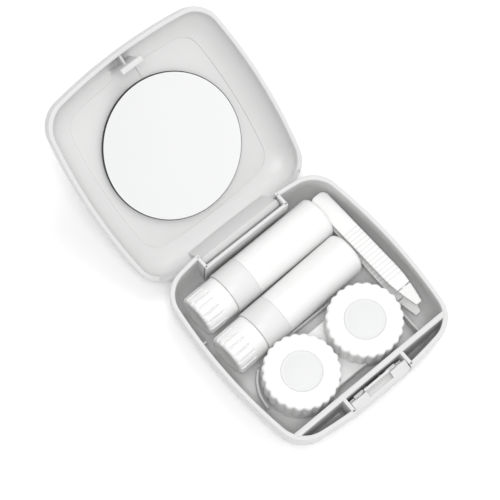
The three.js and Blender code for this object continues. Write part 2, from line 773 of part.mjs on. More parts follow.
kit.add(
  part("lens_case_body", lensCaseBody(), capWhite),
  part("left_lens_cap", lensCap(leftCapX), capWhite),
  part("right_lens_cap", lensCap(rightCapX), capWhite),
);
for (const [side, x] of [["left", leftCapX], ["right", rightCapX]]) {
  const z0 = lensTop - discThickness - 0.04;
  kit.add(part(`${side}_cap_disc`, disc(discRadius, z0, z0 + discThickness, x, capsY, 28),
    discGrey));
}
kit.add(
  bottle("front", frontBottleX, frontBottleY, frontBottleYaw),
  bottle("back", backBottleX, backBottleY, backBottleYaw),
);
const upper = tweezerArm(1, tweezersReach);
const lower = tweezerArm(-1, tweezersReach + lowerTipExtra);
kit.add(
  part("tweezers_upper_arm", upper.arm, capWhite),
  part("tweezers_lower_arm", lower.arm, capWhite),
  part("upper_soft_tip", upper.tip, softGrey),
  part("lower_soft_tip", lower.tip, softGrey),
);

export default kit;
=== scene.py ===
import math

import bmesh
import bpy
from mathutils import Matrix, Vector


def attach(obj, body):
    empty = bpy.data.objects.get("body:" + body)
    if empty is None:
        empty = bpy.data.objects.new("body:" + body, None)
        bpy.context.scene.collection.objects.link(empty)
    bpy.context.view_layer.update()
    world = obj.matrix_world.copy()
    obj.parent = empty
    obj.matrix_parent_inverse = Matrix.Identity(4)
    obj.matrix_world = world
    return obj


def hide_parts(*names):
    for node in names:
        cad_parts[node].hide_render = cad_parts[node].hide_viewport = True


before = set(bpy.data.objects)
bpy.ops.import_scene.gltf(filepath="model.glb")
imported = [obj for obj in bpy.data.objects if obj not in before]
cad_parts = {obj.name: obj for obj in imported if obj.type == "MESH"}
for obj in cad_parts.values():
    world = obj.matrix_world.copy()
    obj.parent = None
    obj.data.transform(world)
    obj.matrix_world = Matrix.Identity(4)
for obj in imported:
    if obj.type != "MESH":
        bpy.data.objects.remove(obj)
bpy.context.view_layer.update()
scene = bpy.context.scene
MM = 0.001

# ---------------------------------------------------------------- sizes, in mm, as in the CAD
HALF_X, HALF_Y = 36.0, 36.75
BOW, CORNER, KEEP = 175.5, 10.3, 0.35
WALL, FLOOR, RIM = 1.5, 1.5, 16.05
HINGE_Y, HINGE_Z, OPEN = 34.3, 12.15, math.radians(144.8)
CAP_R, CAP_TOP, CAP_BOTTOM = 12.75, 16.05, 7.85
CAPS = {"left": -16.2, "right": 10.6}
CAPS_Y = -15.1
BOTTLES = {"front": (-30.0, 6.1, 2.2), "back": (-28.9, 21.75, 1.0)}
BOTTLE_Z = 9.25
FRONT = -HALF_Y
PARTITION = FRONT + 6
BAY_HALF, TONGUE_HALF = 11.45, 15.9
NOTCH_HALF, HOOK_HALF = 4.95, 4.1
MIRROR_R, MIRROR_Y = 24.3, 1.1
TW_X, TW_BACK, TW_Z, TW_REACH, TW_THICK = 28.3, 28.2, 9.0, 50.0, 1.2
GRIP_START, GRIP_PITCH, GRIP_LINES = 17, 1.5, 15

# threads: width of the ridge at its root and at its crest, and pitch
LENS_THREAD = (1.3, 0.7, 3)
BOTTLE_THREAD = (0.8, 0.35, 1.6)

# the viewpoint, and the axes of its picture
CAMERA_AT = (-0.16341, -0.12418, 0.63280)
CAMERA_RIGHT = (0.7588, -0.6501, 0.0396)
CAMERA_UP = (0.60316, 0.72434, 0.33397)
CAMERA_BACK = (-0.2458, -0.2295, 0.9417)


# ---------------------------------------------------------------- mesh tools
def steps(count):
    return [i / count for i in range(count + 1)]


def mesh_of(points, faces):
    mesh = bpy.data.meshes.new("piece")
    mesh.from_pydata([tuple(c * MM for c in p) for p in points], [], faces)
    bm = bmesh.new()
    bm.from_mesh(mesh)
    bmesh.ops.remove_doubles(bm, verts=bm.verts, dist=1e-7)
    bmesh.ops.recalc_face_normals(bm, faces=bm.faces)
    bm.to_mesh(mesh)
    bm.free()
    return mesh


def loft(rings, closed=False):
    """Rings of equal length, joined in order; ends are capped unless closed."""
    n, points, faces = len(rings[0]), [p for ring in rings for p in ring], []
    last = len(rings) if closed else len(rings) - 1
    for k in range(last):
        a, b = k * n, ((k + 1) % len(rings)) * n
        for i in range(n):
            j = (i + 1) % n
            faces.append((a + i, a + j, b + j, b + i))
    if not closed:
        for base in (0, (len(rings) - 1) * n):
            centre = [sum(points[base + i][c] for i in range(n)) / n for c in range(3)]
            points.append(centre)
            for i in range(n):
                faces.append((base + i, base + (i + 1) % n, len(points) - 1))
    return mesh_of(points, faces)


def turned(profile, segments, x=0, y=0):
    """[radius, z] points turned about Z; a profile that closes on itself repeats its first point."""
    ring_closed = profile[0] == profile[-1] and profile[0][0] > 0
    if ring_closed:
        profile = profile[:-1]
    rings = []
    for r, z in profile:
        rings.append([
            (x + r * math.cos(2 * math.pi * i / segments),
             y + r * math.sin(2 * math.pi * i / segments), z) for i in range(segments)])
    return loft(rings, closed=ring_closed)


def prism(section, x0, x1, radius=0.0, axis="x", segments=3):
    """A flat outline carried along an axis, its edges rounded."""
    n = len(section)
    place = {"x": lambda a, b, t: (t, a, b), "z": lambda a, b, t: (a, b, t)}[axis]
    points = [place(a, b, x0) for a, b in section] + [place(a, b, x1) for a, b in section]
    faces = [tuple(range(n)), tuple(range(n, 2 * n))]
    faces += [(i, (i + 1) % n, n + (i + 1) % n, n + i) for i in range(n)]
    mesh = mesh_of(points, faces)
    if radius:
        bm = bmesh.new()
        bm.from_mesh(mesh)
        sharp = [e for e in bm.edges if e.calc_face_angle(0) > math.radians(28)]
        bmesh.ops.bevel(bm, geom=sharp, offset=radius * MM, segments=segments, profile=0.5,
                        affect="EDGES", clamp_overlap=True)
        bm.to_mesh(mesh)
        bm.free()
    return mesh


def block(x, y, z, radius=0.25):
    return prism([(y[0], z[0]), (y[1], z[0]), (y[1], z[1]), (y[0], z[1])], x[0], x[1], radius)


def fuse(*meshes):
    bm = bmesh.new()
    for mesh in meshes:
        bm.from_mesh(mesh)
    out = bpy.data.meshes.new("piece")
    bm.to_mesh(out)
    bm.free()
    return out


def moved(mesh, matrix):
    mesh.transform(matrix)
    return mesh


def boolean(mesh, tools, operation="DIFFERENCE"):
    body = bpy.data.objects.new("body", mesh)
    scene.collection.objects.link(body)
    made = [body]
    for tool in tools:
        cutter = bpy.data.objects.new("tool", tool)
        scene.collection.objects.link(cutter)
        made.append(cutter)
        modifier = body.modifiers.new("cut", "BOOLEAN")
        modifier.operation = operation
        modifier.solver = "EXACT"
        modifier.object = cutter
    bpy.context.view_layer.update()
    result = bpy.data.meshes.new_from_object(
        body.evaluated_get(bpy.context.evaluated_depsgraph_get()))
    for item in made:
        bpy.data.objects.remove(item)
    return result


def piece(name, mesh, material, body, node, sharp=32):
    mesh.name = name
    mesh.materials.clear()
    mesh.materials.append(material)
    mesh.shade_smooth()
    mesh.set_sharp_from_angle(angle=math.radians(sharp))
    obj = bpy.data.objects.new(name, mesh)
    scene.collection.objects.link(obj)
    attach(obj, body)
    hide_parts(node)
    return obj


def outline(inset, z, corner_points=16, side_points=9):
    hx, hy, bow = HALF_X - inset, HALF_Y - inset, BOW - inset
    corner = CORNER - KEEP * inset
    cx, cy = hx - corner, hy - corner
    for _ in range(40):
        cy = math.sqrt((bow - corner) ** 2 - cx ** 2) - (bow - hy)
        cx = math.sqrt((bow - corner) ** 2 - cy ** 2) - (bow - hx)
    side_end = math.atan2(cy, cx - (hx - bow))
    back_end = math.atan2(cy - (hy - bow), cx)

    def arc(x, y, r, a, b, n):
        return [(x + r * math.cos(a + (b - a) * t), y + r * math.sin(a + (b - a) * t))
                for t in steps(n)[:-1]]

    quarter = arc(hx - bow, 0, bow, 0, side_end, side_points)
    quarter += arc(cx, cy, corner, side_end, back_end, corner_points)
    quarter += arc(0, hy - bow, bow, back_end, math.pi / 2, side_points)
    half = quarter + [(0, hy)] + [(-x, y) for x, y in reversed(quarter[1:])]
    whole = half + [(-hx, 0)] + [(x, -y) for x, y in reversed(half[1:])]
    return [(x, y, z) for x, y in whole]


def round_in(inset, reach, z1, z2, sweep=90, levels=18):
    """Rings from the straight lip's end at z1, rounding in to z2 through sweep degrees."""
    last = math.radians(sweep)
    return [outline(inset + reach * (1 - math.cos(t * last)) / (1 - math.cos(last)),
                    z1 + (z2 - z1) * math.sin(t * last) / math.sin(last)) for t in steps(levels)]


def rim_fillet(z, up, radius=0.4):
    """Rings over a rim of wall thickness, from outside to inside, with rounded edges."""
    s = 1 if up else -1
    rings = []
    for t in steps(5):
        a = t * math.pi / 2
        rings.append(outline(radius * (1 - math.cos(a)), z - s * radius * (1 - math.sin(a))))
    for t in steps(5):
        a = t * math.pi / 2
        rings.append(outline(WALL - radius * (1 - math.sin(a)), z - s * radius * (1 - math.cos(a))))
    return rings


def ridge(root, crest, root_h, crest_h, pitch, turns, z0, start=0.0, per_turn=48):
    """A helical ridge of rounded section about Z, fading in and out at its ends."""
    rings = []
    count = int(per_turn * turns)
    for i in range(count + 1):
        t = i / count
        a = start + 2 * math.pi * turns * t
        z = z0 + pitch * turns * t
        fade = min(1, 8 * t, 8 * (1 - t))
        top = root + (crest - root) * (0.12 + 0.88 * fade)
        section = [(root, -root_h / 2), (top, -crest_h / 2), (top + (crest - root) * 0.06, 0),
                   (top, crest_h / 2), (root, root_h / 2)]
        rings.append([(r * math.cos(a), r * math.sin(a), z + h) for r, h in section])
    return loft(rings)


# ---------------------------------------------------------------- materials
def plastic(name, color, roughness, speckle=0.012, bump=0.03, scatter=0.0, grain=2600):
    """Moulded plastic: a faint cloudy tint, a fine spark-eroded grain and uneven gloss."""
    material = bpy.data.materials.new(name)
    material.use_nodes = True
    nodes, links = material.node_tree.nodes, material.node_tree.links
    shader = nodes["Principled BSDF"]
    place = nodes.new("ShaderNodeTexCoord")
    cloud = nodes.new("ShaderNodeTexNoise")
    cloud.inputs["Scale"].default_value = 55
    cloud.inputs["Detail"].default_value = 3
    fine = nodes.new("ShaderNodeTexNoise")
    fine.inputs["Scale"].default_value = grain
    fine.inputs["Detail"].default_value = 2
    links.new(place.outputs["Object"], cloud.inputs["Vector"])
    links.new(place.outputs["Object"], fine.inputs["Vector"])
    tint = nodes.new("ShaderNodeValToRGB")
    low = [c * (1 - speckle) for c in color]
    tint.color_ramp.elements[0].position = 0.3
    tint.color_ramp.elements[1].position = 0.7
    tint.color_ramp.elements[0].color = (*low, 1)
    tint.color_ramp.elements[1].color = (*color, 1)
    links.new(cloud.outputs["Fac"], tint.inputs["Fac"])
    links.new(tint.outputs["Color"], shader.inputs["Base Color"])
    gloss = nodes.new("ShaderNodeMapRange")
    gloss.inputs["To Min"].default_value = roughness - 0.04
    gloss.inputs["To Max"].default_value = roughness + 0.05
    links.new(cloud.outputs["Fac"], gloss.inputs["Value"])
    links.new(gloss.outputs["Result"], shader.inputs["Roughness"])
    relief = nodes.new("ShaderNodeBump")
    relief.inputs["Strength"].default_value = bump
    relief.inputs["Distance"].default_value = 0.00015
    links.new(fine.outputs["Fac"], relief.inputs["Height"])
    links.new(relief.outputs["Normal"], shader.inputs["Normal"])
    shader.inputs["IOR"].default_value = 1.46
    if scatter:
        shader.inputs["Subsurface Weight"].default_value = scatter
        shader.inputs["Subsurface Scale"].default_value = 0.0012
        shader.inputs["Subsurface Radius"].default_value = (1.0, 0.95, 0.9)
    return material


case_white = plastic("case_white", (0.62, 0.62, 0.617), 0.36, bump=0.05)
cap_white = plastic("cap_white", (0.8, 0.8, 0.796), 0.34, scatter=0.2)
bottle_white = plastic("bottle_white", (0.8, 0.8, 0.796), 0.3, scatter=0.25)
band_white = plastic("band_white", (0.69, 0.69, 0.687), 0.4, bump=0.06)
disc_white = plastic("disc_white", (0.68, 0.684, 0.684), 0.5, bump=0.08, grain=3800)
soft_grey = plastic("soft_grey", (0.74, 0.74, 0.735), 0.62, bump=0.1, grain=4200)
foam_white = plastic("foam_white", (0.75, 0.75, 0.72), 0.85, bump=0.5, grain=1500)


def polished(name, color, roughness, streak):
    """Metal with a faint lengthwise drawing mark or polishing haze."""
    material = bpy.data.materials.new(name)
    material.use_nodes = True
    nodes, links = material.node_tree.nodes, material.node_tree.links
    shader = nodes["Principled BSDF"]
    shader.inputs["Metallic"].default_value = 1.0
    place = nodes.new("ShaderNodeTexCoord")
    stretch = nodes.new("ShaderNodeMapping")
    stretch.inputs["Scale"].default_value = streak
    noise = nodes.new("ShaderNodeTexNoise")
    noise.inputs["Scale"].default_value = 60
    noise.inputs["Detail"].default_value = 4
    links.new(place.outputs["Object"], stretch.inputs["Vector"])
    links.new(stretch.outputs["Vector"], noise.inputs["Vector"])
    tint = nodes.new("ShaderNodeValToRGB")
    tint.color_ramp.elements[0].color = (*[c * 0.985 for c in color], 1)
    tint.color_ramp.elements[1].color = (*color, 1)
    links.new(noise.outputs["Fac"], tint.inputs["Fac"])
    links.new(tint.outputs["Color"], shader.inputs["Base Color"])
    haze = nodes.new("ShaderNodeMapRange")
    haze.inputs["To Min"].default_value = roughness * 0.7
    haze.inputs["To Max"].default_value = roughness * 1.4
    links.new(noise.outputs["Fac"], haze.inputs["Value"])
    links.new(haze.outputs["Result"], shader.inputs["Roughness"])
    return material


mirror_face = polished("mirror_face", (0.97, 0.975, 0.975), 0.12, (1, 1, 1))


def painted_edge_shade(material, axis, edge_shade_color):
    """Darkens the faces that look away from an axis of the piece: painted shade for the shadowed gap
    round the mirror, laid on the glass's dark ground edge.
    """
    nodes, links = material.node_tree.nodes, material.node_tree.links
    shader = nodes["Principled BSDF"]
    facing = nodes.new("ShaderNodeVectorMath")
    facing.operation = "DOT_PRODUCT"
    facing.inputs[1].default_value = axis
    place = nodes.new("ShaderNodeTexCoord")
    links.new(place.outputs["Normal"], facing.inputs[0])
    size = nodes.new("ShaderNodeMath")
    size.operation = "ABSOLUTE"
    links.new(facing.outputs["Value"], size.inputs[0])
    face = nodes.new("ShaderNodeMapRange")
    face.inputs["From Min"].default_value = 0.8
    face.inputs["From Max"].default_value = 0.95
    links.new(size.outputs["Value"], face.inputs["Value"])
    mix = nodes.new("ShaderNodeMix")
    mix.data_type = "RGBA"
    mix.inputs["A"].default_value = (*edge_shade_color, 1)
    tint = shader.inputs["Base Color"].links[0].from_socket
    links.new(face.outputs["Result"], mix.inputs["Factor"])
    links.new(tint, mix.inputs["B"])
    links.new(mix.outputs["Result"], shader.inputs["Base Color"])


# painted shade: the mirror's side faces are darkened to draw the shadowed gap round it
painted_edge_shade(mirror_face, (0, math.sin(OPEN), math.cos(OPEN)), (0.06, 0.065, 0.065))
pin_steel = polished("pin_steel", (0.62, 0.63, 0.64), 0.28, (1, 14, 14))


def painted_grip_shade(material):
    """Darkens the grip lines cut across the tweezers' arms: painted shade in the grooves."""
    nodes, links = material.node_tree.nodes, material.node_tree.links
    shader = nodes["Principled BSDF"]
    place = nodes.new("ShaderNodeTexCoord")
    split = nodes.new("ShaderNodeSeparateXYZ")
    links.new(place.outputs["Object"], split.inputs["Vector"])

    def step(operation, value, second, third=None):
        node = nodes.new("ShaderNodeMath")
        node.operation = operation
        links.new(value, node.inputs[0])
        node.inputs[1].default_value = second
        if third is not None:
            node.inputs[2].default_value = third
        return node.outputs["Value"]

    # distance from the heel in line pitches, counted from the first line
    count = step("MULTIPLY_ADD", split.outputs["Y"],
                 -1 / (GRIP_PITCH * MM), (TW_BACK - GRIP_START) / GRIP_PITCH)
    line = step("ABSOLUTE", step("WRAP", count, 0.5, -0.5), 0)
    off = nodes.new("ShaderNodeMapRange")
    off.inputs["From Min"].default_value = 0.06
    off.inputs["From Max"].default_value = 0.2
    links.new(line, off.inputs["Value"])
    inside = nodes.new("ShaderNodeMath")
    inside.operation = "MULTIPLY"
    links.new(step("GREATER_THAN", count, -0.4), inside.inputs[0])
    links.new(step("LESS_THAN", count, GRIP_LINES - 0.6), inside.inputs[1])
    shade = nodes.new("ShaderNodeMath")
    shade.operation = "MULTIPLY_ADD"
    links.new(inside.outputs["Value"], shade.inputs[0])
    links.new(step("MULTIPLY_ADD", off.outputs["Result"], 0.16, -0.16), shade.inputs[1])
    shade.inputs[2].default_value = 1
    mix = nodes.new("ShaderNodeVectorMath")
    mix.operation = "SCALE"
    tint = shader.inputs["Base Color"].links[0].from_socket
    links.new(tint, mix.inputs[0])
    links.new(shade.outputs["Value"], mix.inputs["Scale"])
    links.new(mix.outputs["Vector"], shader.inputs["Base Color"])


# ---------------------------------------------------------------- base tray
def base_tray():
    lip = RIM - 4
    outer = list(reversed(round_in(0, 8, lip, 0)))
    inner = round_in(WALL, 5, lip, FLOOR)
    shell = loft(outer + rim_fillet(RIM, True) + inner)
    bay, travel = BAY_HALF, 7.0
    shell = boolean(shell, [
        block((-bay, bay), (FRONT - 1, FRONT + 2.6), (travel, RIM + 1), 0),
        block((-16.3, 16.3), (31.3, HALF_Y + 1), (5.4, RIM + 1), 0),
    ])
    front, back = PARTITION, FRONT + 7.9
    low = 0.9
    parts = [
        shell,
        block((-31.4, 31.4), (front, back), (7.0, RIM), 0.3),
        block((-29.6, 29.6), (front, back), (3.2, 7.6), 0.0),
        block((-27.2, 27.2), (front, back), (low, 3.6), 0.0),
    ]
    for side in (-1, 1):
        ends = sorted((side * bay, side * (bay + 1.3)))
        parts.append(block(ends, (FRONT + 0.9, front + 0.5), (7.0, RIM), 0.25))
        parts.append(block(ends, (FRONT + 3.4, front + 0.5), (low, 8.0), 0.0))
        # recess cheeks
        ends = sorted((side * 16.3, side * 17.5))
        parts.append(block(ends, (30.4, 35.3), (4.3, RIM), 0.25))
        rail = sorted((side * (bay - 1.2), side * (bay + 0.5)))
        parts.append(block(rail, (FRONT + 2.2, front + 0.5), (5.8, 7.0), 0.15))
    parts += [
        block((-17.5, 17.5), (30.1, 31.3), (low, RIM), 0.3),
        block((-17.4, 17.4), (30.4, 35.4), (4.2, 5.4), 0.2),
        block((-bay - 0.4, bay + 0.4), (FRONT + 3.15, FRONT + 4.35), (12.25, 13.25), 0.2),
        block((-8.6, -4.7), (FRONT + 3.2, FRONT + 5.4), (12.25, 13.25), 0.2),
        block((4.7, 8.6), (FRONT + 3.2, FRONT + 5.4), (12.25, 13.25), 0.2),
        # locating ribs
        block((-34.0, -30.7), (13.5, 14.3), (3.6, 6.0), 0.2),
        block((-10.2, 8.6), (-1.85, -1.05), (low, 5.0), 0.25),
        block((23.85, 24.65), (front + 1, CAPS_Y - 2), (low, 6.0), 0.25),
    ]
    arc = []
    for radius in (CAP_R + 0.45, CAP_R + 1.25):
        run = [(CAPS["left"] + radius * math.cos(math.radians(125 + 57 * t)),
                CAPS_Y + radius * math.sin(math.radians(125 + 57 * t))) for t in steps(28)]
        arc += run if radius < CAP_R + 1 else list(reversed(run))
    parts.append(prism(arc, low, 6.0, 0.2, axis="z", segments=2))
    for y, top in ((22.2, 7.0), (-6.8, 5.2)):
        parts.append(block((26.8, 33.2), (y - 0.4, y + 0.4), (3.0, top), 0.2))
    return fuse(*parts)


# ---------------------------------------------------------------- latch button
def latch_button():
    side, bottom, under = 11.25, 7.2, 13.55
    lip = RIM - 4
    face = loft(list(reversed(round_in(0.1, 8, lip, 0))) + [outline(0.1, RIM + 2)])
    plate = block((-side, side), (FRONT - 2, FRONT + 1.4), (bottom, RIM - 1.9), 0)
    head = prism([(FRONT + 3.6, under), (FRONT + 3.6, RIM), (FRONT + 2.85, RIM),
                  (FRONT + 0.2, RIM - 1.28), (FRONT - 2, RIM - 2.3), (FRONT - 2, under)],
                 -side, side, 0)
    head = boolean(head, [
        block((-NOTCH_HALF, NOTCH_HALF), (FRONT + 1.65, FRONT + 3.75), (RIM - 2.1, RIM + 1), 0),
        block((-NOTCH_HALF, NOTCH_HALF), (FRONT - 3, FRONT + 3.75), (RIM - 0.85, RIM + 1), 0),
    ])
    plate = boolean(plate, [face], "INTERSECT")
    head = boolean(head, [face], "INTERSECT")
    bm = bmesh.new()
    bm.from_mesh(head)
    bmesh.ops.dissolve_limit(bm, angle_limit=math.radians(1), verts=bm.verts, edges=bm.edges)
    edges = [e for e in bm.edges if e.is_manifold and e.calc_face_angle(0) > math.radians(35)]
    bmesh.ops.bevel(bm, geom=edges, offset=0.16 * MM, segments=2, profile=0.5, affect="EDGES",
                    clamp_overlap=True)
    bm.to_mesh(head)
    bm.free()
    return fuse(
        head, plate,
        block((-5.25, 5.25), (FRONT + 3.75, FRONT + 4.65), (under, RIM), 0.15),
        block((-5.2, 5.2), (FRONT + 3.4, FRONT + 4.5), (under, RIM - 1.45), 0.0),
        block((-side, side), (FRONT + 0.6, FRONT + 4.75), (bottom, bottom + 1.2), 0.2),
        block((-10.8, -8.8), (FRONT + 4.45, FRONT + 4.95), (bottom + 0.5, 13.05), 0.15),
        block((8.8, 10.8), (FRONT + 4.45, FRONT + 4.95), (bottom + 0.5, 13.05), 0.15),
    )


def spring_arm(side):
    start, end, thick = FRONT + 1.5, FRONT + 5.9, 0.5
    line = []
    for offset in (0, thick):
        run = []
        for t in steps(24):
            rise = (1 - math.cos(t * math.pi)) / 2
            run.append((side * (8.2 - 5.6 * t), start + offset + (end - thick - start) * rise))
        line += run if offset == 0 else list(reversed(run))
    return prism(line, 9.0, 10.6, 0.1, axis="z", segments=2)


# ---------------------------------------------------------------- lid
LID_RIM, CEILING, LID_TOP = 16.35, 24.7, 26.3
opening = (Matrix.Translation((0, HINGE_Y * MM, HINGE_Z * MM))
           @ Matrix.Rotation(-OPEN, 4, "X")
           @ Matrix.Translation((0, -HINGE_Y * MM, -HINGE_Z * MM)))


def rod(radius, x0, x1, y, z, segments=64, bevel=0.2):
    profile = [(0, x0), (radius - bevel, x0), (radius, x0 + bevel), (radius, x1 - bevel),
               (radius - bevel, x1), (0, x1)]
    mesh = turned(profile, segments)
    turn = Matrix(((0, 0, 1, 0), (1, 0, 0, y * MM), (0, 1, 0, z * MM), (0, 0, 0, 1)))
    return moved(mesh, turn)


def lid_shell():
    outer = list(reversed(round_in(0.04, 9, LID_RIM + 3, LID_TOP - 0.04)))
    inner = round_in(WALL, 7, LID_RIM + 2, CEILING - 0.3, 70)
    # a fine moulded line where the wall meets the ceiling
    inner += [outline(WALL + 7.15, CEILING - 0.3), outline(WALL + 7.35, CEILING)]
    shell = loft(outer + rim_fillet(LID_RIM, False) + inner)
    hook_back = PARTITION - 0.15
    hook_front = hook_back - 0.95
    shell = boolean(shell, [
        block((-4.3, 4.3), (hook_front - 0.5, -23.2), (CEILING - 1, CEILING + 0.4), 0),
        *[rod(4.9, *sorted((s * TONGUE_HALF, s * (TONGUE_HALF + 14))), HINGE_Y, HINGE_Z, 72, 0.0)
          for s in (-1, 1)],
    ])
    face, foot = HINGE_Y - 1.4, HINGE_Z - 2.1
    flap = prism([(face, foot), (face, CEILING - 0.3), (face + 1.2, CEILING - 0.9),
                  (HALF_Y - 1.4, LID_RIM + 5.5), (HALF_Y - 0.3, LID_RIM + 2),
                  (HALF_Y - 0.25, HINGE_Z - 0.4), (HINGE_Y + 1.5, foot + 0.7),
                  (HINGE_Y + 0.5, foot)], -TONGUE_HALF, TONGUE_HALF, 0.15)
    return fuse(
        shell,
        flap,
        block((-HOOK_HALF, HOOK_HALF), (hook_front, hook_back), (RIM - 5, CEILING + 0.4), 0.25),
        prism([(hook_front + 0.3, RIM - 5), (hook_front + 0.3, RIM - 4.1),
               (hook_front - 0.9, RIM - 4.1), (hook_front - 0.9, RIM - 4.5),
               (hook_front - 0.3, RIM - 5)], -HOOK_HALF, HOOK_HALF, 0.12),
        prism([(FRONT + 1.0, RIM + 1.4), (hook_front + 0.3, RIM + 1.4),
               (hook_front + 0.3, CEILING + 0.3), (FRONT + 4.2, CEILING - 1.2)],
              -0.4, 0.4, 0.12),
    )


def mirror():
    z0, z1, r, b = 22.8, 24.0, MIRROR_R, 0.3
    return turned([(0, z0), (r - b, z0), (r, z0 + b), (r, z1 - 0.1), (r - 0.1, z1), (0, z1)],
                  200, 0, MIRROR_Y)


def mirror_pad():
    return turned([(0, 24.1), (20.9, 24.1), (21, 24.2), (21, 24.5), (20.9, 24.6), (0, 24.6)],
                  96, 0, MIRROR_Y)


# ---------------------------------------------------------------- lens case
def dog_bone(inset):
    radius, waist = 11.8 - inset, 9.9 - inset
    meet = math.asin(waist / radius)

    def arc(cx, a, b):
        return [(cx + radius * math.cos(a + (b - a) * t), CAPS_Y + radius * math.sin(a + (b - a) * t))
                for t in steps(56)]

    return (arc(CAPS["right"], -math.pi + meet, math.pi - meet)
            + arc(CAPS["left"], meet, 2 * math.pi - meet))


def lens_case_body():
    floor, deck = 1.65, 6.95
    rings = [[(x, y, floor + 0.3 - 0.3 * math.cos(t * math.pi / 2)) for x, y in
              dog_bone(0.3 * (1 - math.sin(t * math.pi / 2)))] for t in steps(4)]
    rings += [[(x, y, deck - 0.6 + 0.6 * math.sin(t * math.pi / 2)) for x, y in
               dog_bone(0.6 * (1 - math.cos(t * math.pi / 2)))] for t in steps(6)]
    shell = loft(rings)
    hollow = loft([[(x, y, z) for x, y in dog_bone(1.1)] for z in (0.0, deck - 1.1)])
    shell = boolean(shell, [hollow])
    top, out, well_floor = 14.15, 10.4, 4.35
    inner = out - 1.1

    def bowl(radius, bottom):
        rise = min(radius * 0.7, top - bottom)
        return [(radius * math.sin(t * math.pi / 2), bottom + rise * (1 - math.cos(t * math.pi / 2)))
                for t in steps(18)]

    wall = bowl(out, well_floor - 1.1)
    wall += [(out, top - 0.25), (out - 0.08, top - 0.08), (out - 0.25, top),
             (inner + 0.25, top), (inner + 0.08, top - 0.08), (inner, top - 0.25)]
    wall += list(reversed(bowl(inner, well_floor)))
    parts = []
    bores = []
    for x in CAPS.values():
        bores.append(turned(bowl(inner, well_floor) + [(inner, top + 1), (0, top + 1)], 96, x, CAPS_Y))
        parts.append(turned(wall, 112, x, CAPS_Y))
        thread = ridge(out - 0.3, out + 0.55, *LENS_THREAD, 1, 9.45)
        parts.append(moved(thread, Matrix.Translation((x * MM, CAPS_Y * MM, 0))))
    return fuse(boolean(shell, bores), *parts)


def lens_cap(x):
    lobes, per = 24, 10
    count = lobes * per

    def edge(shrink, depth, z):
        ring = []
        for i in range(count):
            a = 2 * math.pi * i / count
            lobe = abs(math.cos(lobes * a / 2)) ** 1.1
            r = CAP_R - shrink - depth * (1 - lobe)
            ring.append((r * math.cos(a), r * math.sin(a), z))
        return ring

    def circle(r, z):
        return [(r * math.cos(2 * math.pi * i / count), r * math.sin(2 * math.pi * i / count), z)
                for i in range(count)]

    bore, ceiling, seat = 11.25, CAP_TOP - 1.7, 6.75
    rings = [circle(bore, CAP_BOTTOM + 0.15), circle(bore + 0.15, CAP_BOTTOM),
             edge(0.3, 0.4, CAP_BOTTOM), edge(0.06, 0.5, CAP_BOTTOM + 0.1),
             edge(0, 0.6, CAP_BOTTOM + 0.4)]
    rings += [edge(0, 0.6, CAP_BOTTOM + 0.4 + 6.6 * t) for t in steps(6)[1:]]
    for t in steps(7)[1:]:
        a = t * math.pi / 2
        rings.append(edge(1.2 * (1 - math.cos(a)), 0.6 * (1 - 0.9 * t ** 2),
                          CAP_TOP - 1.2 + 1.2 * math.sin(a)))
    rings += [circle(9.6, CAP_TOP), circle(seat + 0.12, CAP_TOP), circle(seat, CAP_TOP - 0.12),
              circle(seat, CAP_TOP - 0.7)]
    top = loft(rings + [circle(0.0, CAP_TOP - 0.7)])
    under = loft([circle(bore, CAP_BOTTOM + 0.15), circle(bore, ceiling - 0.5),
                  circle(bore - 0.5, ceiling), circle(0.0, ceiling)])
    bm = bmesh.new()
    for mesh, flip in ((top, False), (under, True)):
        bm.from_mesh(mesh)
    # open the two temporary end caps where the outside meets the bore
    low = (CAP_BOTTOM + 0.151) * MM
    lids = [f for f in bm.faces if all(v.co.z < low for v in f.verts)
            and any(v.co.xy.length < 1e-6 for v in f.verts)]
    bmesh.ops.delete(bm, geom=lids, context="FACES")
    bmesh.ops.delete(bm, geom=[v for v in bm.verts if not v.link_faces], context="VERTS")
    bmesh.ops.remove_doubles(bm, verts=bm.verts, dist=1e-6)
    bmesh.ops.recalc_face_normals(bm, faces=bm.faces)
    cap = bpy.data.meshes.new("cap")
    bm.to_mesh(cap)
    bm.free()
    thread = ridge(bore + 0.2, bore - 0.55, *LENS_THREAD, 1, CAP_BOTTOM + 1, math.pi)
    return moved(fuse(cap, thread), Matrix.Translation((x * MM, CAPS_Y * MM, 0)))


def cap_disc(x):
    z1 = CAP_TOP - 0.04
    z0 = z1 - 0.6
    return turned([(0, z0), (6.6, z0), (6.7, z0 + 0.1), (6.7, z1 - 0.05), (6.64, z1), (6.0, z1),
                   (5.9, z1 - 0.03), (5.75, z1 - 0.03), (5.65, z1), (0, z1)], 128, x, CAPS_Y)


# ---------------------------------------------------------------- bottles, upright about Z
BOT_CAP, BAND0, BODY0, BOT_LEN = 11.9, 12.1, 21.2, 53.6
NECK, NECK_BORE, NECK_END, NOZZLE_BORE = 5.2, 3.9, 5.5, 0.6


def bottle_matrix(label):
    x, y, yaw = BOTTLES[label]
    yaw = math.radians(yaw)
    return (Matrix.Translation((x * MM, (y + x * math.sin(yaw)) * MM, BOTTLE_Z * MM))
            @ Matrix.Rotation(yaw, 4, "Z") @ Matrix.Rotation(-math.pi / 2, 4, "Y"))


def quarter(radius, end, turn, count=8):
    return [(radius - turn * (1 - math.cos(t * math.pi / 2)),
             end + turn * (1 - math.sin(t * math.pi / 2))) for t in steps(count)]


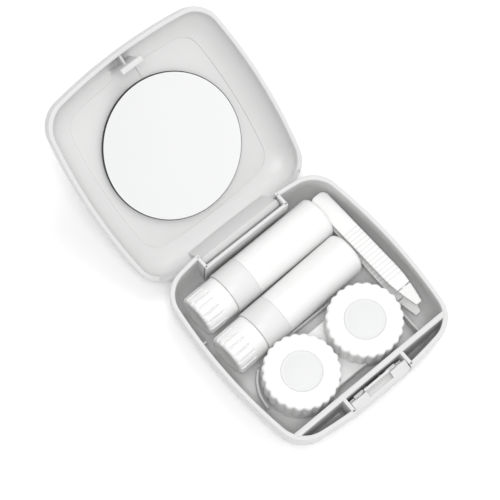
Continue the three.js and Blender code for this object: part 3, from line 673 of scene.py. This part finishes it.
def bottle_body():
    r, inner, end = 7.5, 6.6, -BOT_LEN
    profile = [(0, end)] + list(reversed(quarter(r, end, 1.8)))
    profile += [(r, -BODY0 - 0.1), (r - 0.08, -BODY0), (r - 0.3, -BODY0),
                (NECK + 0.5, -BODY0 + 0.3), (NECK + 0.5, -BAND0 - 0.4), (NECK, -BAND0 - 0.4),
                (NECK, -NECK_END - 0.15), (NECK - 0.15, -NECK_END), (NECK_BORE + 0.1, -NECK_END),
                (NECK_BORE, -NECK_END - 0.1), (NECK_BORE, -BODY0), (inner, -BODY0 - 2.4)]
    profile += quarter(inner, end + 0.9, 1.35) + [(0, end + 0.9)]
    return fuse(turned(profile, 112),
                ridge(NECK - 0.2, NECK + 0.4, *BOTTLE_THREAD, 1.5, -BOT_CAP + 1.4))


def bottle_band():
    bore, r = NECK + 0.6, 7.6
    low, high = -BODY0 + 0.03, -BAND0 + 0.12
    return turned([(bore, low + 0.4), (r - 0.2, low), (r - 0.06, low + 0.06), (r, low + 0.2),
                   (r, high - 0.2), (r - 0.06, high - 0.06), (r - 0.2, high), (bore, high),
                   (bore, low + 0.4)], 128)


def bottle_nozzle():
    e = -NECK_END
    return turned([(NOZZLE_BORE, e - 6), (3.75, e - 6), (3.85, e - 5.8), (3.85, e + 0.05),
                   (5.0, e + 0.05), (5.0, e + 0.7), (4.9, e + 0.8), (2.2, e + 0.9),
                   (1.85, e + 1.1), (1.35, -2.4), (1.15, -2.15), (NOZZLE_BORE, -2.1),
                   (NOZZLE_BORE, e - 6)], 64)


def bottle_cap():
    slots, per = 16, 18
    count, r, bore = slots * per, 7.2, 5.85

    def ring(radius, z, depth):
        points = []
        for i in range(count):
            a = 2 * math.pi * i / count
            phase = (i % per) / per
            off = min(phase, 1 - phase) * 2 * math.pi * r / slots
            groove = 1 - min(max((off - 0.24) / 0.16, 0), 1)
            groove = groove * groove * (3 - 2 * groove)
            rad = max(radius - depth * groove, 0.0)
            points.append((rad * math.cos(a), rad * math.sin(a), z))
        return points

    def depth_at(z):
        t = min(max((-z - 6.3) / 0.9, 0), 1)
        return 0.8 * (1 - t * t * (3 - 2 * t))

    rings = [ring(0.0, -0.12, 0), ring(4.6, -0.12, 0), ring(4.9, 0, 0), ring(5.6, 0, 0.2)]
    for t in steps(6)[1:]:
        a = t * math.pi / 2
        rings.append(ring(5.9 + 1.3 * math.sin(a), -1.25 * (1 - math.cos(a)), 0.2 + 0.3 * t))
    for t in steps(26)[1:]:
        z = -1.25 - (BOT_CAP - 1.45) * t
        rings.append(ring(r, z, depth_at(z)))
    rings += [ring(r - 0.2, -BOT_CAP, 0), ring(bore + 0.15, -BOT_CAP, 0),
              ring(bore, -BOT_CAP + 0.15, 0), ring(bore, -1.35, 0), ring(0.0, -1.35, 0)]
    thread = ridge(bore + 0.2, bore - 0.4, *BOTTLE_THREAD, 1.5, -BOT_CAP + 1.2, math.pi)
    return fuse(loft(rings), thread)


def bottle_cap_seal():
    return turned([(0, -3.2), (0.25, -3.15), (0.4, -2.9), (0.5, -1.75), (5.5, -1.75),
                   (5.6, -1.65), (5.6, -1.4), (5.5, -1.35), (0, -1.35)], 64)


# ---------------------------------------------------------------- tweezers
def arm_height(t):
    root = 0.7
    return root + (4.1 - root) * (1 - max(1 - t, 0) ** 1.3)


def half_width(along, reach):
    half, corner = 3.15, 2.4
    if along < corner:
        return half - corner * (1 - math.sqrt(max(1 - (1 - along / corner) ** 2, 0)))
    t = min(max((along - (reach - 13)) / 13, 0), 1)
    return half - (half - 1.05) * t ** 1.5


def tweezers_strip(sign, reach, start, end, shrink=0.0, grips=False):
    """A bowed strip of rounded section between two distances from the heel."""
    rings = []
    count = int((end - start) * 5)
    for i in range(count + 1):
        along = start + (end - start) * i / count
        edge = min(along - start, end - along)
        close = math.sqrt(max(1 - max(1 - edge / 0.3, 0) ** 2, 0.02))
        half = max(half_width(along, reach) - shrink, 0.2) * (0.93 + 0.07 * close)
        thick = (TW_THICK / 2 - shrink) * close
        centre = arm_height(along / TW_REACH)
        lift = 0.0
        if grips and 16.6 < along < 38.6:
            phase = ((along - GRIP_START) / GRIP_PITCH) % 1
            lift = 0.26 * math.exp(-((min(phase, 1 - phase)) / 0.15) ** 2)
        y = TW_BACK - along
        r = 0.3
        ring = []
        for cx, cz, a0 in ((1, 1, 0), (-1, 1, 90), (-1, -1, 180), (1, -1, 270)):
            for t in steps(4):
                a = math.radians(a0 + 90 * t)
                px = cx * (half - r) + r * math.cos(a)
                top = thick - (lift if cz > 0 and abs(px) < half - 0.35 else 0)
                pz = cz * (top - min(r, top)) + min(r, top) * math.sin(a)
                ring.append((TW_X + px, y, TW_Z + sign * (centre + pz)))
        rings.append(ring)
    return loft(rings)


def tweezer_arm(sign, reach):
    joint = reach - 7.5
    body = tweezers_strip(sign, reach, 0.0, joint, grips=True)
    tang = block((TW_X - 0.7, TW_X + 0.7), (TW_BACK - joint - 0.3, TW_BACK - joint + 1),
                 sorted((TW_Z + sign * (arm_height(joint / TW_REACH) - 0.25),
                         TW_Z + sign * (arm_height(joint / TW_REACH) + 0.25))), 0.05)
    return fuse(body, tang)


def soft_tip(sign, reach):
    return tweezers_strip(sign, reach, reach - 7.35, reach)


# ---------------------------------------------------------------- pieces
piece("tray", base_tray(), case_white, "tray", "base_tray")
piece("pin", rod(0.75, -17.4, 17.4, HINGE_Y, HINGE_Z, 48, 0.12), pin_steel, "tray", "hinge_pin")
piece("button", latch_button(), case_white, "latch_button", "latch_button")
piece("button_spring_left", spring_arm(-1), case_white, "latch_button", "left_button_spring")
piece("button_spring_right", spring_arm(1), case_white, "latch_button", "right_button_spring")
piece("lid_body", moved(lid_shell(), opening), case_white, "lid", "lid_shell")
piece("lid_mirror", moved(mirror(), opening), mirror_face, "lid", "mirror", 25)
piece("lid_mirror_pad", moved(mirror_pad(), opening), foam_white, "lid", "mirror_pad")
piece("lens_cups", lens_case_body(), cap_white, "lens_case", "lens_case_body")
for label, cap_x in CAPS.items():
    piece(f"{label}_cap_shell", lens_cap(cap_x), cap_white, f"{label}_cap",
          f"{label}_lens_cap", 40)
    piece(f"{label}_cap_inlay", cap_disc(cap_x), disc_white, f"{label}_cap_rise",
          f"{label}_cap_disc")
for label in BOTTLES:
    at = bottle_matrix(label)
    piece(f"{label}_flask", moved(bottle_body(), at), bottle_white, f"{label}_bottle",
          f"{label}_bottle_body")
    piece(f"{label}_flask_band", moved(bottle_band(), at), band_white, f"{label}_bottle",
          f"{label}_bottle_band")
    piece(f"{label}_flask_nozzle", moved(bottle_nozzle(), at), cap_white, f"{label}_bottle",
          f"{label}_bottle_nozzle")
    piece(f"{label}_flask_cap", moved(bottle_cap(), at), bottle_white, f"{label}_bottle_cap",
          f"{label}_bottle_cap", 50)
    piece(f"{label}_flask_seal", moved(bottle_cap_seal(), at), soft_grey, f"{label}_cap_travel",
          f"{label}_bottle_cap_seal")
tweezers_white = plastic("tweezers_white", (0.77, 0.77, 0.766), 0.36, scatter=0.1)
# painted shade: the colour is darkened along the tweezers' grip grooves
painted_grip_shade(tweezers_white)
piece("tweezers_top", tweezer_arm(1, 50.0), tweezers_white, "tweezers_upper",
      "tweezers_upper_arm", 45)
piece("tweezers_bottom", tweezer_arm(-1, 51.2), tweezers_white, "tweezers",
      "tweezers_lower_arm", 45)
piece("top_tip", soft_tip(1, 50.0), soft_grey, "tweezers_upper", "upper_soft_tip", 45)
piece("bottom_tip", soft_tip(-1, 51.2), soft_grey, "tweezers", "lower_soft_tip", 45)

# ---------------------------------------------------------------- stage, light and camera
floor_mesh = bpy.data.meshes.new("floor")
floor_mesh.from_pydata([(-2, -2, 0), (2, -2, 0), (2, 2, 0), (-2, 2, 0)], [], [(0, 1, 2, 3)])
floor = bpy.data.objects.new("floor", floor_mesh)
scene.collection.objects.link(floor)
paper = plastic("paper", (0.95, 0.95, 0.95), 0.9, 0.004, 0.02)
paper.node_tree.nodes["Principled BSDF"].inputs["Specular IOR Level"].default_value = 0.1
floor_mesh.materials.append(paper)

world = bpy.data.worlds.new("studio")
scene.world = world
world.use_nodes = True
sky, sky_links = world.node_tree.nodes, world.node_tree.links
direction = sky.new("ShaderNodeTexCoord")


def toward(axis, start, end, low, high):
    """A value that eases from low to high as a ray turns towards an axis."""
    along = sky.new("ShaderNodeVectorMath")
    along.operation = "DOT_PRODUCT"
    along.inputs[1].default_value = axis
    ease = sky.new("ShaderNodeMapRange")
    ease.interpolation_type = "SMOOTHSTEP"
    ease.inputs["From Min"].default_value = start
    ease.inputs["From Max"].default_value = end
    ease.inputs["To Min"].default_value = low
    ease.inputs["To Max"].default_value = high
    sky_links.new(direction.outputs["Generated"], along.inputs[0])
    sky_links.new(along.outputs["Value"], ease.inputs["Value"])
    return ease.outputs["Result"]


# the room is dim, with one bright wall in front that the lid's mirror faces
wall = sky.new("ShaderNodeMix")
wall.inputs["A"].default_value = 0.6
sky_links.new(toward((0.246, -0.81, 0.532), 0.4, 0.93, 0, 1), wall.inputs["Factor"])
sky_links.new(toward(CAMERA_RIGHT, 0.62, 0.84, 0.9, 1.03), wall.inputs["B"])
sky_links.new(wall.outputs["Result"], sky["Background"].inputs["Strength"])
sky["Background"].inputs["Color"].default_value = (1, 1, 1, 1)


def area(name, direction, distance, size, power):
    data = bpy.data.lights.new(name, "AREA")
    data.shape = "DISK"
    data.size = size
    data.energy = power
    light = bpy.data.objects.new(name, data)
    d = Vector(direction).normalized()
    light.location = d * distance + Vector((0, 0.03, 0))
    light.rotation_euler = d.to_track_quat("Z", "Y").to_euler()
    scene.collection.objects.link(light)


area("key", (0.42, 0.25, 1.0), 1.2, 0.7, 3.6)
area("fill", CAMERA_BACK, 1.2, 0.5, 6.0)

camera_data = bpy.data.cameras.new("camera")
camera = bpy.data.objects.new("camera", camera_data)
scene.collection.objects.link(camera)
camera_data.sensor_width = 36
camera_data.lens = 146.55
camera_data.clip_start = 0.01
camera_data.clip_end = 10
right, up = Vector(CAMERA_RIGHT), Vector(CAMERA_UP)
right.normalize()
back = right.cross(up).normalized()
up = back.cross(right).normalized()
camera.matrix_world = Matrix((
    (right.x, up.x, back.x, CAMERA_AT[0]),
    (right.y, up.y, back.y, CAMERA_AT[1]),
    (right.z, up.z, back.z, CAMERA_AT[2]),
    (0, 0, 0, 1),
))
scene.camera = camera
scene.view_settings.view_transform = "Standard"
